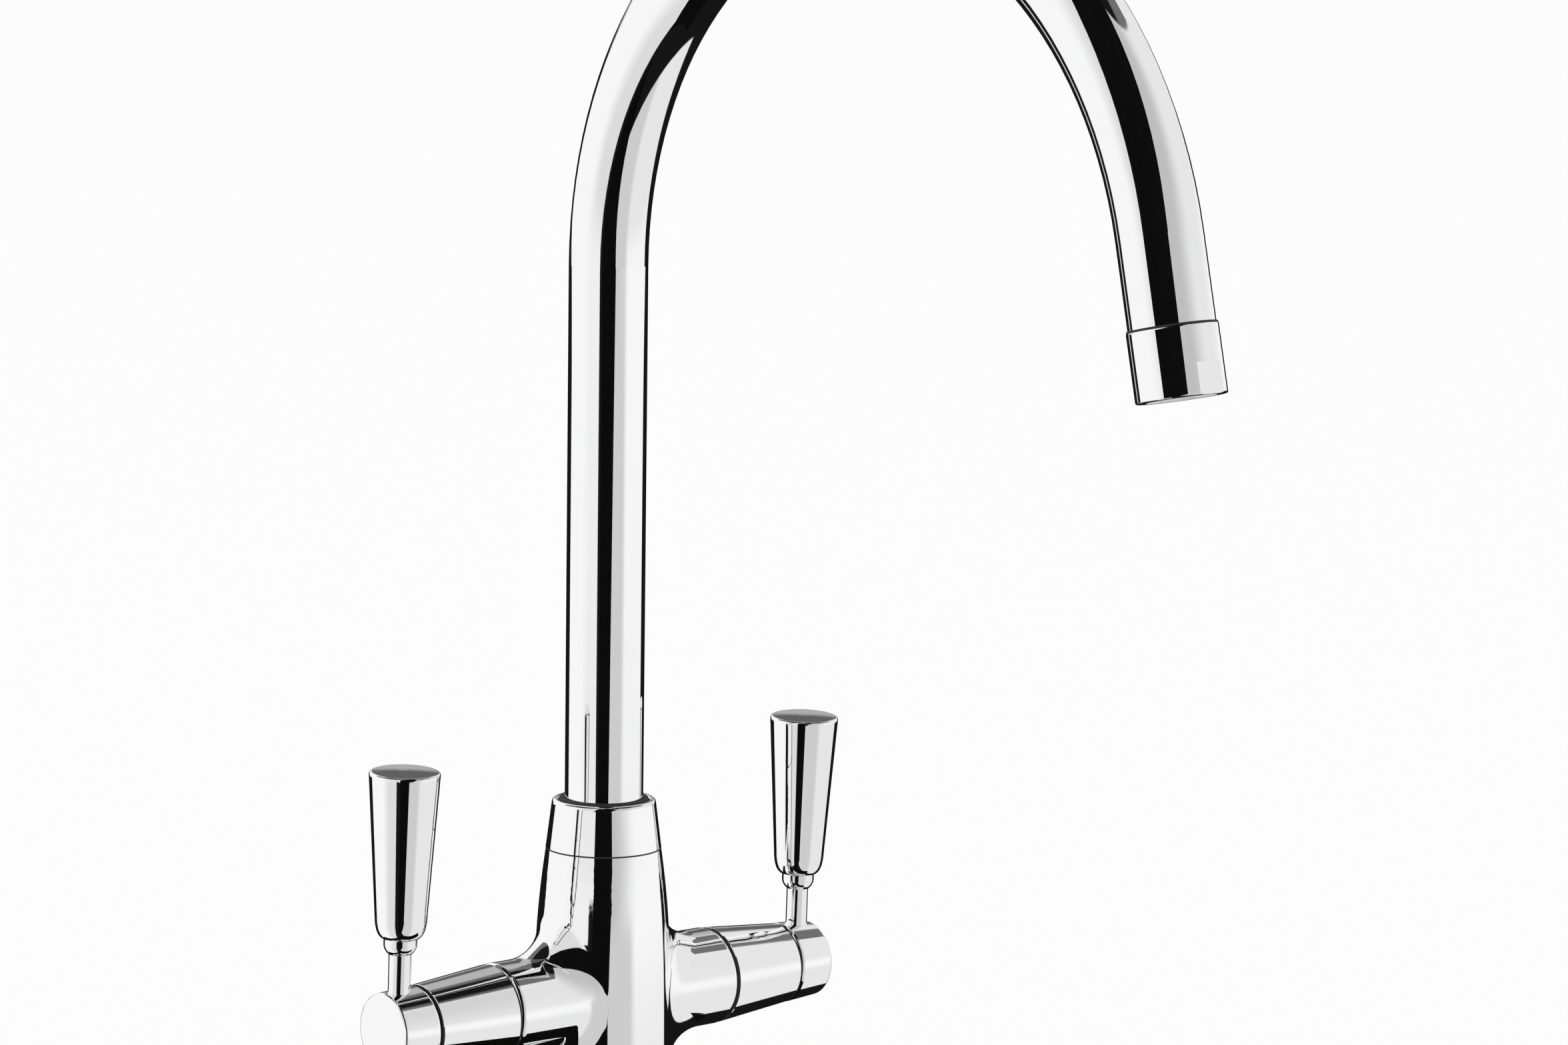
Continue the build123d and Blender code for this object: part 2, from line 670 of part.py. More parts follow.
def valve_spindle():
    """Spindle with drive lugs, two seal grooves, a clip groove and a splined end."""
    spindle = rod(SPINDLE_RADIUS, DRIVE_PLATE_END, SPLINE_START)
    spindle += rod(DISC_RADIUS - 0.4, MOVING_DISC_END, DRIVE_PLATE_END)
    for side in (-1, 1):
        spindle += Pos(0, side * (LUG_INNER + LUG_THICKNESS / 2), MOVING_DISC_END - LUG_DEPTH) * Box(
            LUG_WIDTH, LUG_THICKNESS, LUG_DEPTH, align=(Align.CENTER, Align.CENTER, Align.MIN)
        )
    spindle += spline()
    cut_radius = SPINDLE_RADIUS + CUT_THROUGH
    for centre in SPINDLE_SEALS:
        groove_start = centre - SPINDLE_GROOVE_HALF_WIDTH
        groove_end = centre + SPINDLE_GROOVE_HALF_WIDTH
        spindle -= ring(SPINDLE_GROOVE_RADIUS, cut_radius, groove_start, groove_end)
    return spindle - ring(CLIP_INNER, cut_radius, CLIP_START, CLIP_START + CLIP_THICKNESS)


def spindle_o_rings():
    section = (SPINDLE_RADIUS - SPINDLE_GROOVE_RADIUS) / 2
    return Compound([o_ring(SPINDLE_GROOVE_RADIUS + section, section, centre) for centre in SPINDLE_SEALS])


def spindle_clip():
    """Open retaining clip in the spindle groove, behind the neck of the valve body."""
    clip = ring(CLIP_INNER, CLIP_OUTER, CLIP_START, CLIP_START + CLIP_THICKNESS)
    mouth = Pos(-CLIP_OUTER, 0, NECK_END) * Box(
        2 * (CLIP_OUTER - 2.0), CLIP_MOUTH_WIDTH, 2, align=(Align.CENTER, Align.CENTER, Align.MIN)
    )
    return clip - mouth


def valve_locknut():
    blank = hexagon(LOCKNUT_ACROSS_FLATS, SLEEVE_RIB_END, LOCKNUT_END)
    return blank - rod(NECK_RADIUS, SLEEVE_RIB_END, LOCKNUT_END)


# ---------------------------------------------------------------- trim and lever of one arm


def valve_sleeve():
    """Tapered cover over the valve, clamped by its inner rib."""
    slope = (SLEEVE_START_RADIUS - SLEEVE_END_RADIUS) / (SLEEVE_END - SLEEVE_START)
    inner_start_radius = SLEEVE_START_RADIUS - SLEEVE_WALL
    rib_bore = NECK_RADIUS + SLEEVE_RIB_CLEARANCE
    return turned(
        (inner_start_radius, SLEEVE_START),
        (SLEEVE_START_RADIUS - SLEEVE_EDGE_CHAMFER, SLEEVE_START),
        (SLEEVE_START_RADIUS, SLEEVE_START + SLEEVE_EDGE_CHAMFER),
        (SLEEVE_END_RADIUS + slope * SLEEVE_EDGE_CHAMFER, SLEEVE_END - SLEEVE_EDGE_CHAMFER),
        (SLEEVE_END_RADIUS - SLEEVE_EDGE_CHAMFER, SLEEVE_END),
        (SLEEVE_END_RADIUS - SLEEVE_WALL, SLEEVE_END),
        (inner_start_radius - slope * (SLEEVE_RIB_END - SLEEVE_START), SLEEVE_RIB_END),
        (rib_bore, SLEEVE_RIB_END),
        (rib_bore, HEX_END),
        (inner_start_radius - slope * (HEX_END - SLEEVE_START), HEX_END),
    )


def handle_cap():
    """Turning end cap: spigot, splined socket, faintly domed end and the hole for the lever stem."""
    spigot_radius = SLEEVE_END_RADIUS - SLEEVE_WALL - CAP_SPIGOT_CLEARANCE
    spigot_start = CAP_START - CAP_SPIGOT_LENGTH
    socket_end = SPINDLE_END + SPINDLE_END_GAP
    face_edge = (CAP_START_RADIUS - CAP_INNER_ROUND, CAP_START)
    side_start = (CAP_START_RADIUS, CAP_START + CAP_INNER_ROUND)
    side_end = (CAP_RIM_RADIUS, CAP_RIM - CAP_RIM_ROUND)
    dome_edge = CAP_RIM_RADIUS - CAP_RIM_ROUND
    blank = turned_curve(
        Polyline(
            (0, CAP_RIM + CAP_DOME),
            (0, socket_end),
            (SPLINE_SOCKET_RADIUS, socket_end),
            (SPLINE_SOCKET_RADIUS, spigot_start),
            (spigot_radius, spigot_start),
            (spigot_radius, CAP_START),
            face_edge,
        ),
        quarter_round(face_edge, (CAP_START_RADIUS, CAP_START), side_start),
        Line(side_start, side_end),
        quarter_round(side_end, (CAP_RIM_RADIUS, CAP_RIM), (dome_edge, CAP_RIM)),
        dome(dome_edge, CAP_RIM, CAP_DOME),
    )
    stem_hole = rod(STEM_THREAD_RADIUS, STEM_HOLE_BOTTOM, STEM_SEAT_HEIGHT)
    stem_hole += rod(STEM_RADIUS, STEM_SEAT_HEIGHT, ARM_HEIGHT + CAP_START_RADIUS + CUT_THROUGH)
    return leaned(on_right_arm(blank) - Pos(LEVER_DISTANCE, 0, 0) * stem_hole)


def lever_stem():
    """Lever rod, its lower thread bearing on the spindle and its upper thread in the grip."""
    stem = rod(STEM_THREAD_RADIUS, STEM_FOOT_HEIGHT, STEM_SEAT_HEIGHT)
    stem += rod(STEM_RADIUS, STEM_SEAT_HEIGHT, FERRULE_BOTTOM)
    stem += rod(STEM_THREAD_RADIUS, FERRULE_BOTTOM, GRIP_HOLE_TOP - GRIP_HOLE_SPARE)
    return on_right_lever(stem)


def lever_ferrule():
    """Small shouldered ring between the stem and the grip."""
    lip = (FERRULE_LIP_RADIUS, FERRULE_BOTTOM)
    curve_middle = (FERRULE_CURVE_RADIUS, FERRULE_BOTTOM + FERRULE_CURVE_RISE)
    shoulder = (FERRULE_RADIUS, FERRULE_BOTTOM + FERRULE_SHOULDER_RISE)
    waist = turned_curve(
        Polyline(
            shoulder,
            (FERRULE_RADIUS, GRIP_BOTTOM),
            (STEM_THREAD_RADIUS, GRIP_BOTTOM),
            (STEM_THREAD_RADIUS, FERRULE_BOTTOM),
            lip,
        ),
        ThreePointArc(lip, curve_middle, shoulder),
    )
    return on_right_lever(waist)


def lever_grip():
    """Tapered round grip with a rounded foot, wider at its nearly flat top."""
    foot = (GRIP_FOOT_RADIUS, GRIP_BOTTOM)
    pull = (GRIP_PULL_RADIUS, GRIP_BOTTOM + GRIP_PULL_RISE)
    shoulder = (GRIP_LOW_RADIUS, GRIP_BOTTOM + GRIP_SHOULDER_RISE)
    side_end = (GRIP_TOP_RADIUS, GRIP_RIM - GRIP_RIM_ROUND)
    dome_edge = GRIP_TOP_RADIUS - GRIP_RIM_ROUND
    grip = turned_curve(
        Polyline(
            (0, GRIP_RIM + GRIP_DOME),
            (0, GRIP_HOLE_TOP),
            (STEM_THREAD_RADIUS, GRIP_HOLE_TOP),
            (STEM_THREAD_RADIUS, GRIP_BOTTOM),
            foot,
        ),
        Bezier(foot, pull, shoulder),
        Line(shoulder, side_end),
        quarter_round(side_end, (GRIP_TOP_RADIUS, GRIP_RIM), (dome_edge, GRIP_RIM)),
        dome(dome_edge, GRIP_RIM, GRIP_DOME),
    )
    return on_right_lever(grip)


# ---------------------------------------------------------------- write every piece

CENTRE_PIECES = {
    "body_casting": body_casting,
    "base_flange": base_flange,
    "base_seal": base_seal,
    "deck_gasket": deck_gasket,
    "clamp_plate": clamp_plate,
    "fixing_stud": fixing_stud,
    "fixing_nut": fixing_nut,
    "spout_collar": spout_collar,
    "spout_foot": spout_foot,
    "spout_o_rings": spout_o_rings,
    "lower_glide_washer": lower_glide_washer,
    "upper_glide_washer": upper_glide_washer,
    "spout_tube": spout_tube,
    "outlet_nipple": outlet_nipple,
    "aerator_housing": aerator_housing,
    "aerator_washer": aerator_washer,
    "aerator_cartridge": aerator_cartridge,
    "aerator_screen": aerator_screen,
}

CARTRIDGE_PIECES = {
    "seat_seal": seat_seal,
    "fixed_disc": fixed_disc,
    "moving_disc": moving_disc,
    "valve_body": valve_body,
    "valve_spindle": valve_spindle,
    "spindle_o_rings": spindle_o_rings,
    "spindle_clip": spindle_clip,
    "valve_locknut": valve_locknut,
    "valve_sleeve": valve_sleeve,
}

LEVER_PIECES = {
    "handle_cap": handle_cap,
    "lever_stem": lever_stem,
    "lever_ferrule": lever_ferrule,
    "lever_grip": lever_grip,
}

os.makedirs("parts", exist_ok=True)

for name, make in CENTRE_PIECES.items():
    export_step(make(), f"parts/{name}.step")

right_pieces = {name: on_right_arm(make()) for name, make in CARTRIDGE_PIECES.items()}
right_pieces.update({name: make() for name, make in LEVER_PIECES.items()})
for name, piece in right_pieces.items():
    export_step(piece, f"parts/right_{name}.step")
    export_step(mirror(piece, Plane.YZ), f"parts/left_{name}.step")
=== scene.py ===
import json
import math

import bmesh
import bpy
from mathutils import Matrix, Vector


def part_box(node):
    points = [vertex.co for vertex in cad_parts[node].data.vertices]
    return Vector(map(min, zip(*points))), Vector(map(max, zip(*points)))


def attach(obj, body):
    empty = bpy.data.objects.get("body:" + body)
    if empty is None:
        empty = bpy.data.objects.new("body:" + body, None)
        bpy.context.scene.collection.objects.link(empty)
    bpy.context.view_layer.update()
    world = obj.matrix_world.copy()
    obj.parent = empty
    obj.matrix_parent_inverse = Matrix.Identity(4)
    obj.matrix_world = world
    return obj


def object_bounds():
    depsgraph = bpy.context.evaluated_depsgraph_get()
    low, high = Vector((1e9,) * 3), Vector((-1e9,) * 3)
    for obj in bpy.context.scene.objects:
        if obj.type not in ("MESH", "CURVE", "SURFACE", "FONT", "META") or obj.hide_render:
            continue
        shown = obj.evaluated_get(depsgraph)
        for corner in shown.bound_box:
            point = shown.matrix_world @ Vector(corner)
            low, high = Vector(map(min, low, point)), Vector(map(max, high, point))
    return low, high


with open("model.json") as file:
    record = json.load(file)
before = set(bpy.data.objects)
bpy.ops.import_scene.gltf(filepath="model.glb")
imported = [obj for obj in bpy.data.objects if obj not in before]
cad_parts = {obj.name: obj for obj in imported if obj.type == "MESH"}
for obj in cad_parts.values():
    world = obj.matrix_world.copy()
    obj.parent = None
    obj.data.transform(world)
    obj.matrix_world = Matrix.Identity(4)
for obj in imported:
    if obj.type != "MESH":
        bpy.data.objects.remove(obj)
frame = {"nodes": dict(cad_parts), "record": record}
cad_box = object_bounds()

# Chromed kitchen mixer tap in a white studio. Metres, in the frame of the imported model:
# the origin is on the deck, +Z is up, the spout reaches towards -Y.

# ---- the photograph's camera ----
CAMERA_PLACE = Vector((-0.93518, -1.16446, 0.40028))
CAMERA_HEADING = 40.658  # degrees clockwise from +Y
CAMERA_DIP = 8.230  # degrees below level
CAMERA_ROLL = 0.770
CAMERA_LENS = 124.90
CAMERA_SENSOR = 36.0
CAMERA_REACH = 100.0  # metres that the camera sees

# ---- studio ----
FLOOR_GAP = 0.0005  # the floor lies this far under the lowest piece
FLOOR_SIZE = 60.0
FLOOR_COLOUR = (0.93, 0.93, 0.925)
FLOOR_GLOW = 0.7  # share of plain white that the camera sees in the floor
STUDIO_FRONT = 218.77  # heading of the studio's front, seen from the tower

# ---- black card at the front: where its edges stand at deck height, and how far they lean per metre up ----
CARD_LEFT = (-0.361, -0.245)
CARD_LEFT_LEAN = (0.013, 0.043)
CARD_RIGHT = (-0.219, -0.443)
CARD_RIGHT_LEAN = (0.415, 0.142)
CARD_BOTTOM = -0.35
CARD_TOP = 1.5
CARD_TONE = 0.004

# ---- dark mat under the tap ----
MAT_LEFT = -0.15
MAT_RIGHT = 0.12
MAT_FRONT = -0.125
MAT_REAR = 0.15

# ---- white tent that polished metal sees, in degrees. Bearings run from the front, positive rightwards ----
WHITE = 0.95
SHADE_CENTRE = -4.0  # the tent is brightest at this elevation
SHADE_AWAY = (2.0, 14.0)  # this far above or below it, shade sets in and is full
WALLS_MEET = (-8.0, 12.0)  # bearings over which the left wall gives way to the right one
LEFT_SHADE = (-78.0, -48.0)  # bearings where the left wall's shade sets in and where it is full
LEFT_SHADE_DEPTH = 0.06
LEFT_SHADE_AWAY = 0.16
RIGHT_STEP = (45.0, 60.0)  # a sharp step from grey to white, low down
RIGHT_STEP_TONE = 0.62
RIGHT_SHADE = (14.0, 66.0)  # a soft one, higher up
RIGHT_SHADE_TONE = 0.53
RIGHT_SHADE_SPREAD = 0.8  # degrees of bearing per degree of elevation
RIGHT_STEP_TOP = (-8.0, -1.0)  # elevations over which the sharp step gives way to the soft one
RIGHT_FADE_AWAY = 0.14
DRAPE_EDGE = (126.5, 129.5)  # black drapes behind the tap start at this bearing on both sides
DRAPE_TOP = (3.0, 8.0)  # and end between these elevations
DRAPE_GATHER = 19.0  # above the next two elevations they start this much further back
DRAPE_GATHER_RISE = (-7.0, -3.0)
CEILING_BEARING = 91.0  # the ceiling starts at CEILING_START here
CEILING_START = 54.0
CEILING_FALL = 0.48  # degrees lower per degree of bearing
CEILING_LOWEST = 41.0
CEILING_TONE = 0.16
CEILING_DARK = (55.0, 59.0)  # above this the ceiling is black
REAR_EDGE = (160.0, 168.0)  # the part straight behind the tap, in bearings from 0 to 360
REAR_END = (184.0, 190.0)
FLOOR_SLOPE = 0.52  # how far the dark floor reaches per metre under the metal
FLOOR_BEARING = 71.4
FLOOR_LEFT_END = -25.0
FLOOR_TOP = (-2.0, 0.0)
DARK_TONE = 0.008
EDGE_SOFTNESS = 1.0  # half width of a crisp edge
FLOOR_EDGE_SOFTNESS = 0.01

# (elevation, tone) straight behind the tap: drape, wall, gap, strip of light, dark ceiling
REAR_TONES = (
    (0.0, 0.008),
    (3.0, 0.42),
    (12.0, 0.42),
    (15.0, 0.12),
    (27.0, 0.12),
    (30.0, 0.46),
    (51.0, 0.46),
    (54.0, 0.10),
)

# ---- black seals in the seams, partly real seals and partly painted shade: they darken each seam as the shadow in its gap would. Outlines are (radius, distance along the axis) in millimetres ----
MILLIMETRE = 0.001
RING_STEPS = 160
COLLAR_SEAM_SHADE_OUTLINE = ((15.78, 92.02), (16.19, 92.02), (16.19, 92.42))
WIPER_SHADE_OUTLINE = (
    (11.08, 103.85),
    (12.10, 103.85),
    (12.15, 105.00),
    (12.55, 105.90),
    (12.45, 106.20),
    (11.90, 106.35),
    (11.08, 106.20),
)
STUB_SHADE_SEAL_OUTLINE = (
    (12.55, 39.17),
    (13.58, 39.17),
    (13.58, 39.03),
    (13.30, 38.90),
    (13.10, 38.70),
    (12.55, 39.02),
)
CAP_SHADE_SEAL_OUTLINE = ((10.20, 64.03), (11.46, 64.03), (11.46, 64.25), (10.20, 64.25))
TIP_SHADE_SEAL_OUTLINE = (
    (11.03, -0.42),
    (11.28, -0.42),
    (11.42, -0.25),
    (11.42, 0.12),
    (11.20, -0.02),
    (11.03, -0.02),
)

# ---- where the seals, painted shade in the seams, sit ----
ARM_HEIGHT = 0.050
BEND_RADIUS = 0.1091
BEND_START_HEIGHT = 0.2555
BEND_ANGLE = 167.0
TIP_LENGTH = 0.0226

# ---- stud thread ----
STUD_PITCH = 0.00125
STUD_THREAD_DEPTH = 0.0007


# ---------------------------------------------------------------- shader helpers


def put(tree, socket, value):
    """Links a socket or writes a number or colour."""
    if isinstance(value, bpy.types.NodeSocket):
        tree.links.new(value, socket)
    else:
        socket.default_value = value


def maths(tree, operation, *values):
    """One step of arithmetic on sockets or numbers."""
    node = tree.nodes.new("ShaderNodeMath")
    node.operation = operation
    for socket, value in zip(node.inputs, values):
        put(tree, socket, value)
    return node.outputs[0]


def smooth_step(tree, value, low, high):
    """Runs smoothly from 0 at low to 1 at high; low may be the larger."""
    node = tree.nodes.new("ShaderNodeMapRange")
    node.interpolation_type = "SMOOTHSTEP"
    put(tree, node.inputs["Value"], value)
    node.inputs["From Min"].default_value = low
    node.inputs["From Max"].default_value = high
    return node.outputs["Result"]


def spread(tree, value, low, high):
    """A 0 to 1 value spread between two numbers."""
    node = tree.nodes.new("ShaderNodeMapRange")
    put(tree, node.inputs["Value"], value)
    node.inputs["To Min"].default_value = low
    node.inputs["To Max"].default_value = high
    return node.outputs["Result"]


def ramp(tree, value, stops):
    """Grey ramp through (position, tone) stops."""
    node = tree.nodes.new("ShaderNodeValToRGB")
    elements = node.color_ramp.elements
    while len(elements) < len(stops):
        elements.new(0.5)
    for element, (position, tone) in zip(elements, stops):
        element.position = position
        element.color = (tone, tone, tone, 1)
    put(tree, node.inputs["Fac"], value)
    return node.outputs["Color"]


def mix(tree, factor, first, second):
    """A colour between two others."""
    node = tree.nodes.new("ShaderNodeMix")
    node.data_type = "RGBA"
    put(tree, node.inputs[0], factor)
    put(tree, node.inputs[6], first)
    put(tree, node.inputs[7], second)
    return node.outputs[2]


def noise(tree, scale, detail, stretch=(1, 1, 1)):
    """Noise in object space, 0 to 1, its scale in cells per metre."""
    place = tree.nodes.new("ShaderNodeTexCoord")
    mapping = tree.nodes.new("ShaderNodeMapping")
    mapping.inputs["Scale"].default_value = [scale * axis for axis in stretch]
    tree.links.new(place.outputs["Object"], mapping.inputs["Vector"])
    texture = tree.nodes.new("ShaderNodeTexNoise")
    texture.inputs["Scale"].default_value = 1.0
    texture.inputs["Detail"].default_value = detail
    tree.links.new(mapping.outputs["Vector"], texture.inputs["Vector"])
    return texture.outputs["Fac"]


def bump(tree, height, distance, strength=1.0):
    """A normal for relief this deep, in metres."""
    node = tree.nodes.new("ShaderNodeBump")
    node.inputs["Distance"].default_value = distance
    node.inputs["Strength"].default_value = strength
    tree.links.new(height, node.inputs["Height"])
    return node.outputs["Normal"]


def new_material(name):
    """A material with an empty principled shader."""
    material = bpy.data.materials.new(name)
    material.use_nodes = True
    shader = material.node_tree.nodes["Principled BSDF"]
    return material, material.node_tree, shader


def shade_of(tree, tone):
    """The same tone in all three channels."""
    node = tree.nodes.new("ShaderNodeCombineColor")
    for socket in node.inputs[:3]:
        put(tree, socket, tone)
    return node.outputs[0]


def blend(tree, factor, first, second):
    """A number between two others."""
    node = tree.nodes.new("ShaderNodeMix")
    node.data_type = "FLOAT"
    put(tree, node.inputs[0], factor)
    put(tree, node.inputs[2], first)
    put(tree, node.inputs[3], second)
    return node.outputs[0]


# ---------------------------------------------------------------- materials


def make_chrome():
    """Mirror plate over polished brass: faint haze, and waves too shallow to see but in the reflections."""
    material, tree, shader = new_material("chrome")
    shader.inputs["Metallic"].default_value = 1.0
    haze = noise(tree, 90.0, 3.0)
    colour = mix(tree, haze, (0.955, 0.957, 0.960, 1), (0.985, 0.985, 0.985, 1))
    tree.links.new(colour, shader.inputs["Base Color"])
    polish = noise(tree, 420.0, 4.0)
    tree.links.new(spread(tree, polish, 0.015, 0.05), shader.inputs["Roughness"])
    tree.links.new(bump(tree, noise(tree, 55.0, 2.0), 0.00002, 0.5), shader.inputs["Normal"])
    return material


def make_brass():
    """Machined brass with fine tool marks."""
    material, tree, shader = new_material("brass")
    shader.inputs["Metallic"].default_value = 1.0
    patina = noise(tree, 160.0, 5.0)
    colour = mix(tree, patina, (0.80, 0.60, 0.29, 1), (0.66, 0.47, 0.21, 1))
    tree.links.new(colour, shader.inputs["Base Color"])
    marks = noise(tree, 900.0, 2.0, (1, 1, 6))
    tree.links.new(spread(tree, marks, 0.20, 0.42), shader.inputs["Roughness"])
    tree.links.new(bump(tree, marks, 0.00003), shader.inputs["Normal"])
    return material


def make_steel():
    """Zinc-plated steel: cloudy plate with fine rolling marks."""
    material, tree, shader = new_material("steel")
    shader.inputs["Metallic"].default_value = 1.0
    spangle = noise(tree, 240.0, 4.0)
    colour = mix(tree, spangle, (0.62, 0.63, 0.65, 1), (0.48, 0.49, 0.50, 1))
    tree.links.new(colour, shader.inputs["Base Color"])
    grain = noise(tree, 700.0, 3.0, (8, 1, 1))
    tree.links.new(spread(tree, grain, 0.28, 0.50), shader.inputs["Roughness"])
    tree.links.new(bump(tree, grain, 0.00003), shader.inputs["Normal"])
    return material


def make_threaded_steel():
    """Zinc-plated steel with a helical screw thread round the stud's own axis."""
    material = make_steel()
    material.name = "threaded_steel"
    tree = material.node_tree
    shader = tree.nodes["Principled BSDF"]
    place = tree.nodes.new("ShaderNodeTexCoord")
    split = tree.nodes.new("ShaderNodeSeparateXYZ")
    tree.links.new(place.outputs["Object"], split.inputs[0])
    x, y, z = split.outputs
    low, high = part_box("fixing_stud")
    across = maths(tree, "SUBTRACT", x, (low.x + high.x) / 2)
    forward = maths(tree, "SUBTRACT", y, (low.y + high.y) / 2)
    turn = maths(tree, "ARCTAN2", forward, across)
    rise = maths(tree, "MULTIPLY", z, 2 * math.pi / STUD_PITCH)
    flank = maths(tree, "SINE", maths(tree, "ADD", rise, turn))
    thread = maths(tree, "MULTIPLY_ADD", flank, 0.5, 0.5)
    tree.links.new(bump(tree, thread, STUD_THREAD_DEPTH), shader.inputs["Normal"])
    return material


def make_rubber():
    """Black moulded rubber with a dusty bloom."""
    material, tree, shader = new_material("rubber")
    bloom = noise(tree, 320.0, 5.0)
    colour = mix(tree, bloom, (0.010, 0.010, 0.011, 1), (0.026, 0.025, 0.025, 1))
    tree.links.new(colour, shader.inputs["Base Color"])
    tree.links.new(spread(tree, bloom, 0.55, 0.80), shader.inputs["Roughness"])
    tree.links.new(bump(tree, noise(tree, 2200.0, 3.0), 0.00008), shader.inputs["Normal"])
    return material


def make_ceramic():
    """Lapped ceramic, faintly speckled."""
    material, tree, shader = new_material("ceramic")
    speckle = noise(tree, 1500.0, 5.0)
    colour = mix(tree, speckle, (0.84, 0.82, 0.77, 1), (0.90, 0.89, 0.86, 1))
    tree.links.new(colour, shader.inputs["Base Color"])
    tree.links.new(spread(tree, speckle, 0.12, 0.25), shader.inputs["Roughness"])
    return material


def make_acetal():
    """White moulded acetal."""
    material, tree, shader = new_material("acetal")
    flow = noise(tree, 260.0, 3.0)
    colour = mix(tree, flow, (0.80, 0.80, 0.78, 1), (0.87, 0.87, 0.85, 1))
    tree.links.new(colour, shader.inputs["Base Color"])
    tree.links.new(spread(tree, flow, 0.35, 0.50), shader.inputs["Roughness"])
    tree.links.new(bump(tree, noise(tree, 1800.0, 2.0), 0.00002), shader.inputs["Normal"])
    return material


MATERIALS = {
    "chrome": make_chrome(),
    "brass": make_brass(),
    "steel": make_steel(),
    "rubber": make_rubber(),
    "ceramic": make_ceramic(),
    "acetal": make_acetal(),
}


def dress(node, material):
    """Gives a CAD node its material."""
    slots = frame["nodes"][node].data.materials
    slots.clear()
    slots.append(material)


for subpart in frame["record"]["subparts"]:
    dress(subpart["node"], MATERIALS[subpart["material_slot"]])
dress("fixing_stud", make_threaded_steel())


# ---------------------------------------------------------------- seals in the seams, black rings that paint the seams' shade


def make_shade_seal(name, body, outline, place):
    """A black ring turned from its outline, painted shade that darkens a seam as the shadow in its gap would;
    place carries the turning axis, +Z, to where it sits.
    """
    shape = bmesh.new()
    rings = []
    for step in range(RING_STEPS):
        turn = Matrix.Rotation(2 * math.pi * step / RING_STEPS, 4, "Z")
        points = [turn @ Vector((radius, 0, height)) * MILLIMETRE for radius, height in outline]
        rings.append([shape.verts.new(place @ point) for point in points])
    for here, there in zip(rings, rings[1:] + rings[:1]):
        for corner in range(len(outline)):
            after = (corner + 1) % len(outline)
            shape.faces.new((here[corner], there[corner], there[after], here[after]))
    bmesh.ops.recalc_face_normals(shape, faces=shape.faces)
    mesh = bpy.data.meshes.new(name)
    shape.to_mesh(mesh)
    shape.free()
    mesh.materials.append(MATERIALS["rubber"])
    ring_as_shade = bpy.data.objects.new(name, mesh)
    bpy.context.scene.collection.objects.link(ring_as_shade)
    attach(ring_as_shade, body)


def tip_place():
    """The end of the spout's tube: +Z runs on along the tip."""
    turn = math.radians(BEND_ANGLE)
    along = Vector((0, -math.sin(turn), math.cos(turn)))
    reach = BEND_RADIUS * (1 - math.cos(turn))
    height = BEND_START_HEIGHT + BEND_RADIUS * math.sin(turn)
    tube_end = Vector((0, -reach, height)) + along * TIP_LENGTH
    return Matrix.Translation(tube_end) @ Matrix.Rotation(turn, 4, "X")


def make_shade_seals():
    """Black seals at the collar, above the outlet and at both ends of each valve sleeve: partly real seals,
    partly painted shade in each seam's gap.
    """
    upright = Matrix.Identity(4)
    # Each ring below is painted shade: a black line where the seam's gap would lie in shadow.
    make_shade_seal("collar_seam_shade_seal", "body", COLLAR_SEAM_SHADE_OUTLINE, upright)
    make_shade_seal("collar_wiper_shade_ring", "body", WIPER_SHADE_OUTLINE, upright)
    make_shade_seal("tip_seam_shade_seal", "spout", TIP_SHADE_SEAL_OUTLINE, tip_place())
    for side, angle in (("right", 90), ("left", -90)):
        arm = Matrix.Translation((0, 0, ARM_HEIGHT)) @ Matrix.Rotation(math.radians(angle), 4, "Y")
        make_shade_seal(side + "_stub_shade_seal", "body", STUB_SHADE_SEAL_OUTLINE, arm)
        make_shade_seal(side + "_cap_shade_seal", "body", CAP_SHADE_SEAL_OUTLINE, arm)


# ---------------------------------------------------------------- studio


def make_camera():
    """The photograph's camera."""
    lens = bpy.data.cameras.new("photo_camera")
    lens.sensor_fit = "HORIZONTAL"
    lens.sensor_width = CAMERA_SENSOR
    lens.lens = CAMERA_LENS
    lens.clip_end = CAMERA_REACH
    camera = bpy.data.objects.new("photo_camera", lens)
    turn = Matrix.Rotation(math.radians(-CAMERA_HEADING), 4, "Z")
    tip = Matrix.Rotation(math.radians(90 - CAMERA_DIP), 4, "X")
    roll = Matrix.Rotation(math.radians(CAMERA_ROLL), 4, "Z")
    camera.matrix_world = Matrix.Translation(CAMERA_PLACE) @ turn @ tip @ roll
    bpy.context.scene.collection.objects.link(camera)
    bpy.context.scene.camera = camera


def wall_tone(tree, bearing, elevation):
    """White side walls that fall to grey towards the front, and more so above and below."""
    height = maths(tree, "ABSOLUTE", maths(tree, "SUBTRACT", elevation, SHADE_CENTRE))
    away = smooth_step(tree, height, *SHADE_AWAY)
    left_depth = maths(tree, "MULTIPLY_ADD", away, LEFT_SHADE_AWAY, LEFT_SHADE_DEPTH)
    left_shade = smooth_step(tree, bearing, *LEFT_SHADE)
    left = maths(tree, "SUBTRACT", WHITE, maths(tree, "MULTIPLY", left_depth, left_shade))
    spread_out = maths(tree, "SUBTRACT", bearing, maths(tree, "MULTIPLY", height, RIGHT_SHADE_SPREAD))
    right_white = maths(tree, "SUBTRACT", WHITE, maths(tree, "MULTIPLY", away, RIGHT_FADE_AWAY))
    soft = blend(tree, smooth_step(tree, spread_out, *RIGHT_SHADE), RIGHT_SHADE_TONE, right_white)
    sharp = blend(tree, smooth_step(tree, bearing, *RIGHT_STEP), RIGHT_STEP_TONE, right_white)
    right = blend(tree, smooth_step(tree, elevation, *RIGHT_STEP_TOP), sharp, soft)
    return blend(tree, smooth_step(tree, bearing, *WALLS_MEET), left, right)


